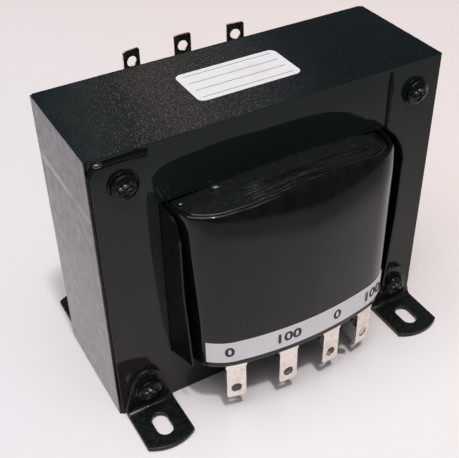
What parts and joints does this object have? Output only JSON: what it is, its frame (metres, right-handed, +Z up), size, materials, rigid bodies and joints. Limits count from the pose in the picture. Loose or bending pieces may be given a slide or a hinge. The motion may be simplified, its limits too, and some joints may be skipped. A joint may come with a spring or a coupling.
{
  "type": "laminated core transformer",
  "caption": "Open-frame mains transformer: an upright coil on a laminated shell core, with solder tags front and back and slotted bracket feet.",
  "frame": {"origin": "centre of the core's footprint on the floor", "axes": "X along the core's width, -Y towards the front tags, +Z up"},
  "size_m": [0.1142, 0.08, 0.0954],
  "materials": {
    "stack": "black varnish over rough lamination edges",
    "end_laminations": "smooth sheet steel under glossy black varnish",
    "pressboard": "brown pressboard soaked in dark varnish",
    "layer_paper": "kraft paper soaked in dark varnish",
    "wire": "enamelled copper wire under varnish",
    "wrap": "black glossy insulating sheet",
    "tags": "bright tinned sheet",
    "fasteners": "plated steel coated in black varnish",
    "feet": "pressed steel under glossy black varnish",
    "labels": "satin white paper label"
  },
  "bodies": {
    "root": {"e_laminations": "stack", "i_laminations": "stack", "front_e_lamination": "end_laminations", "front_i_lamination": "end_laminations", "rear_e_lamination": "end_laminations", "rear_i_lamination": "end_laminations", "coil_former": "pressboard", "inner_winding": "wire", "inner_layer_papers": "layer_paper", "winding_barrier": "pressboard", "outer_winding": "wire", "outer_layer_papers": "layer_paper", "coil_wrap": "wrap", "window_liner_left": "pressboard", "window_liner_right": "pressboard", "front_tag_1": "tags", "front_tag_2": "tags", "front_tag_3": "tags", "front_tag_4": "tags", "rear_tag_1": "tags", "rear_tag_2": "tags", "rear_tag_3": "tags", "bolt_low_left": "fasteners", "bolt_low_right": "fasteners", "bolt_high_left": "fasteners", "bolt_high_right": "fasteners", "nut_low_left": "fasteners", "nut_low_right": "fasteners", "nut_high_left": "fasteners", "nut_high_right": "fasteners", "front_washers": "fasteners", "rear_washers": "fasteners", "foot_front_left": "feet", "foot_front_right": "feet", "foot_rear_left": "feet", "foot_rear_right": "feet", "number_strip": "labels", "top_label": "labels"}
  },
  "joints": []
}
